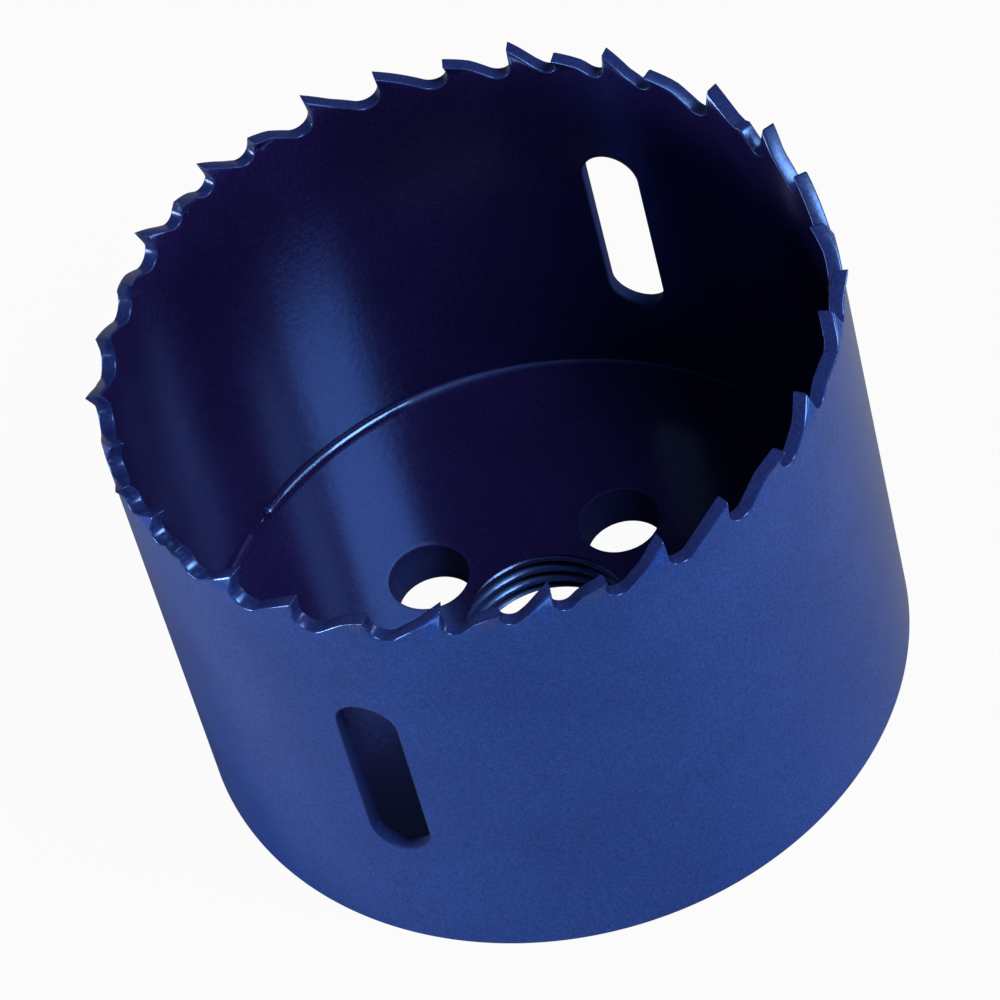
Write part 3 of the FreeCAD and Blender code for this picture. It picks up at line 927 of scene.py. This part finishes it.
def sweep_paper():
    """White light by the share that isn't paper for rays that see it, and pale paper for the rest. The
    share that mirrors see grows from nothing at the shaded radius to its full size at the open one."""
    material, output = new_material("sweep_paper")
    tree = material.node_tree
    where = node(tree, "ShaderNodeTexCoord", (-1500, 0)).outputs["Object"]
    away = node(tree, "ShaderNodeVectorMath", (-1300, 0), {0: where}, operation="LENGTH").outputs["Value"]
    mirror = ranged(tree, away, shaded_radius * MM, open_radius * MM, 0.0, floor_mirror, (-1100, 0))
    lit = sum_node(tree, "MULTIPLY", (-300, 200), seen_ray(tree, mirror), 1 - paper_share)
    paper = node(tree, "ShaderNodeBsdfDiffuse", (-100, 0), {0: paper_tone})
    glow = node(tree, "ShaderNodeEmission", (-100, -150), {0: white, 1: 1.0})
    blend = node(tree, "ShaderNodeMixShader", (300, 0), {0: lit, 1: paper.outputs[0], 2: glow.outputs[0]})
    tree.links.new(blend.outputs[0], output.inputs[0])
    return material


sweep_line = np.linspace(-sweep_half, sweep_half, 5)
floor = join_sheets("floor_sweep", [(sheet(sweep_line, sweep_line[:, None], -sweep_drop), False, None)])
dress(floor, sweep_paper())
floor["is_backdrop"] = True

# %% [markdown]
# The room is the world's background. It could be an image of a studio, but two plain tones are enough:
# white for what is seen, and a dim, slightly blue one that lifts the darkest parts a little.

# %% Room
room_mirror = 0.01
room_tone = (0.9, 0.95, 1.0, 1)
room_strength = 0.09

world = bpy.data.worlds.new("studio")
bpy.context.scene.world = world
world.use_nodes = True
world.node_tree.nodes.clear()
sky_output = node(world.node_tree, "ShaderNodeOutputWorld", (300, 0))
dim_room = node(world.node_tree, "ShaderNodeBackground", (-100, 0), {0: room_tone, 1: room_strength})
white_room = node(world.node_tree, "ShaderNodeBackground", (-100, -150), {0: white, 1: 1.0})
sky = node(world.node_tree, "ShaderNodeMixShader", (100, 0),
           {0: seen_ray(world.node_tree, room_mirror), 1: dim_room.outputs[0], 2: white_room.outputs[0]})
world.node_tree.links.new(sky.outputs[0], sky_output.inputs[0])
print("room strength:", room_strength, "for all rays but those that see white")

# %% [markdown]
# ## Camera
# The camera stands well back with a long lens, looks down at about fifty degrees and is rolled by
# fifteen, which makes the cup lean in the picture. It could be aimed by hand in the viewport, but
# numbers can be fitted. Its turn about the cup's axis, its height, its distance and two small aiming
# angles were fitted to the outline, the slots and the holes.

# %% Place the camera
camera_turn = math.radians(31.547)
camera_height = math.radians(50.252)
camera_roll = math.radians(15.641)
camera_distance = 493.67
aim_side = -0.0022
aim_up = 0.0287
focal_share = 5.65246
sensor = 36.0
nearest = 10


def camera_matrix():
    """Looks from its place to the axis, then turns by the two aiming angles and the roll. The rows of
    the product are the camera's right, up and forward in the saw's frame."""
    rise, drop = math.sin(camera_height), math.cos(camera_height)
    look = Matrix(((1, 0, 0), (0, rise, drop), (0, drop, -rise)))
    side = Matrix(((math.cos(aim_side), 0, -math.sin(aim_side)), (0, 1, 0),
                   (math.sin(aim_side), 0, math.cos(aim_side))))
    lift = Matrix(((1, 0, 0), (0, math.cos(aim_up), -math.sin(aim_up)),
                   (0, math.sin(aim_up), math.cos(aim_up))))
    rows = Matrix.Rotation(camera_roll, 3, "Z") @ lift @ side @ look
    axes = Matrix((rows[0], rows[1], -rows[2])).transposed()
    turn = Matrix.Rotation(camera_turn, 4, "Z")
    place = Vector((0, -drop, rise)) * camera_distance * MM
    return turn @ Matrix.Translation(place) @ axes.to_4x4()


lens = bpy.data.cameras.new("camera")
lens.sensor_width = sensor
lens.lens = sensor * focal_share
lens.clip_start = nearest * MM
camera = bpy.data.objects.new("camera", lens)
bpy.context.scene.collection.objects.link(camera)
camera.matrix_world = camera_matrix()
bpy.context.scene.camera = camera
print("camera at", [round(value, 4) for value in camera.matrix_world.translation])

# %% [markdown]
# ## Light
# One lamp would leave most of a round body dark, so the saw is lit as in a product studio, by soft
# boxes. Three long low ones, at the left, in front and at the right, light the outside of the wall.
# Being low, they leave the inside of the cup dark, together with the navy painted there as shade. A tall
# key box high on the right, with a thin strip beside it, draws the soft streaks on the inside wall and the
# plate and the sparks in the gullets.

# %% Soft boxes
soft_boxes = {
    "left_box": dict(turn=-88, height=5, distance=700, width=420, tall=120, watts=5.6),
    "front_box": dict(turn=-20, height=5, distance=700, width=900, tall=120, watts=1.25),
    "right_box": dict(turn=95, height=5, distance=700, width=420, tall=120, watts=1.5),
    "key_box": dict(turn=49, height=50, distance=800, width=235, tall=380, watts=7.1),
    "strip_box": dict(turn=74, height=46, distance=800, width=110, tall=300, watts=0.9),
}


def soft_box(name, turn, height, distance, width, tall, watts):
    """An area light that looks at the middle of the cup, placed by its turn from the camera's side
    (to the right is positive) and its height above the floor, both in degrees."""
    light = bpy.data.lights.new(name, "AREA")
    light.shape = "RECTANGLE"
    light.size, light.size_y = width * MM, tall * MM
    light.energy = watts
    lamp = bpy.data.objects.new(name, light)
    bpy.context.scene.collection.objects.link(lamp)
    angle = camera_turn - math.pi / 2 + math.radians(turn)
    rise = math.radians(height)
    target = Vector((0, 0, rim_height / 2 * MM))
    way = Vector((math.cos(angle) * math.cos(rise), math.sin(angle) * math.cos(rise), math.sin(rise)))
    lamp.rotation_mode = "QUATERNION"
    lamp.rotation_quaternion = way.to_track_quat("Z", "Y")
    lamp.location = target + way * distance * MM
    print(f"{name}: {watts} W at {turn} degrees, {height} degrees up")


for name, box in soft_boxes.items():
    soft_box(name, **box)

# %% Finish
dressed_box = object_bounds()
boxes = {"cad": [list(corner) for corner in cad_box], "visual": [list(corner) for corner in dressed_box]}
for name, (low, high) in boxes.items():
    print(name, "box in millimetres:", (np.array(low) / MM).round(2), (np.array(high) / MM).round(2))

bpy.context.scene.view_settings.view_transform = "Standard"
